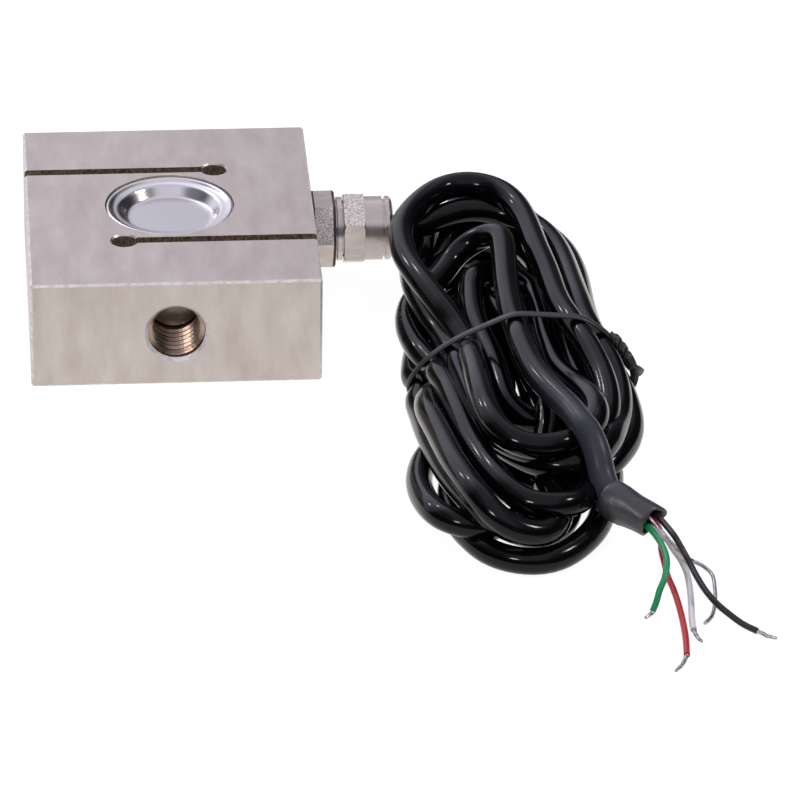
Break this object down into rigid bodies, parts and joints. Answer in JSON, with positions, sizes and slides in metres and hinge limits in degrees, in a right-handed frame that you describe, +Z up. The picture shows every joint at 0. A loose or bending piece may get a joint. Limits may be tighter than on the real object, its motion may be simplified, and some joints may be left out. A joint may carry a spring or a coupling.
{
  "type": "s-type load cell",
  "caption": "S-shaped steel load cell lying flat, with tapped ends, pressed cups over the gauge pockets, a cable gland, a tied cable hank and bare lead wires.",
  "frame": {"origin": "on the resting surface, under the middle of the beam and its gland together", "axes": "+Z up out of the broad face, Y along the load axis, +X towards the cable gland"},
  "size_m": [0.1202, 0.1626, 0.02],
  "materials": {
    "nickel_plate": "satin nickel plate over alloy steel, finely ground faces",
    "cup_metal": "smooth pressed sheet, bright",
    "gland_nickel": "nickel plated, hexagon flats partly rough from the blank",
    "seal_rubber": "black sealing rubber",
    "gauge_foil": "amber polyimide film with a metal foil grid",
    "terminal_strip": "green laminate with solder pads",
    "resistor": "black chip resistor with tinned ends",
    "enamel": "enamelled copper wire",
    "cable_jacket": "glossy black flexible jacket",
    "tie_plastic": "black coated wire tie",
    "sleeve": "dull dark grey heat-shrink tube",
    "wire_green": "green wire insulation",
    "wire_red": "red wire insulation",
    "wire_white": "white wire insulation",
    "wire_black": "black wire insulation",
    "tinned": "tinned copper strands"
  },
  "bodies": {
    "root": {"s_beam_body": "nickel_plate", "window_cup_upper": "cup_metal", "window_cup_lower": "cup_metal", "gland_body": "gland_nickel", "gland_cap_nut": "gland_nickel", "gland_thrust_washer": "gland_nickel", "gland_seal_ring": "seal_rubber", "gland_grommet": "seal_rubber", "strain_gauge_upper_left": "gauge_foil", "strain_gauge_upper_right": "gauge_foil", "strain_gauge_lower_left": "gauge_foil", "strain_gauge_lower_right": "gauge_foil", "terminal_strip_upper": "terminal_strip", "terminal_strip_lower": "terminal_strip", "trim_resistor_1": "resistor", "trim_resistor_2": "resistor", "link_lead_left": "enamel", "link_lead_right": "enamel", "cable_gland_run": "cable_jacket", "cable_lead_out": "cable_jacket", "cable_hank": "cable_jacket", "cable_tail": "cable_jacket", "twist_tie": "tie_plastic", "heat_shrink_sleeve": "sleeve", "lead_wire_green": "wire_green", "core_lead_green": "wire_green", "lead_wire_red": "wire_red", "core_lead_red": "wire_red", "lead_wire_white": "wire_white", "core_lead_white": "wire_white", "lead_wire_black": "wire_black", "core_lead_black": "wire_black", "drain_wire": "tinned", "tinned_tip_green": "tinned", "tinned_tip_red": "tinned", "tinned_tip_white": "tinned", "tinned_tip_black": "tinned"}
  },
  "joints": []
}
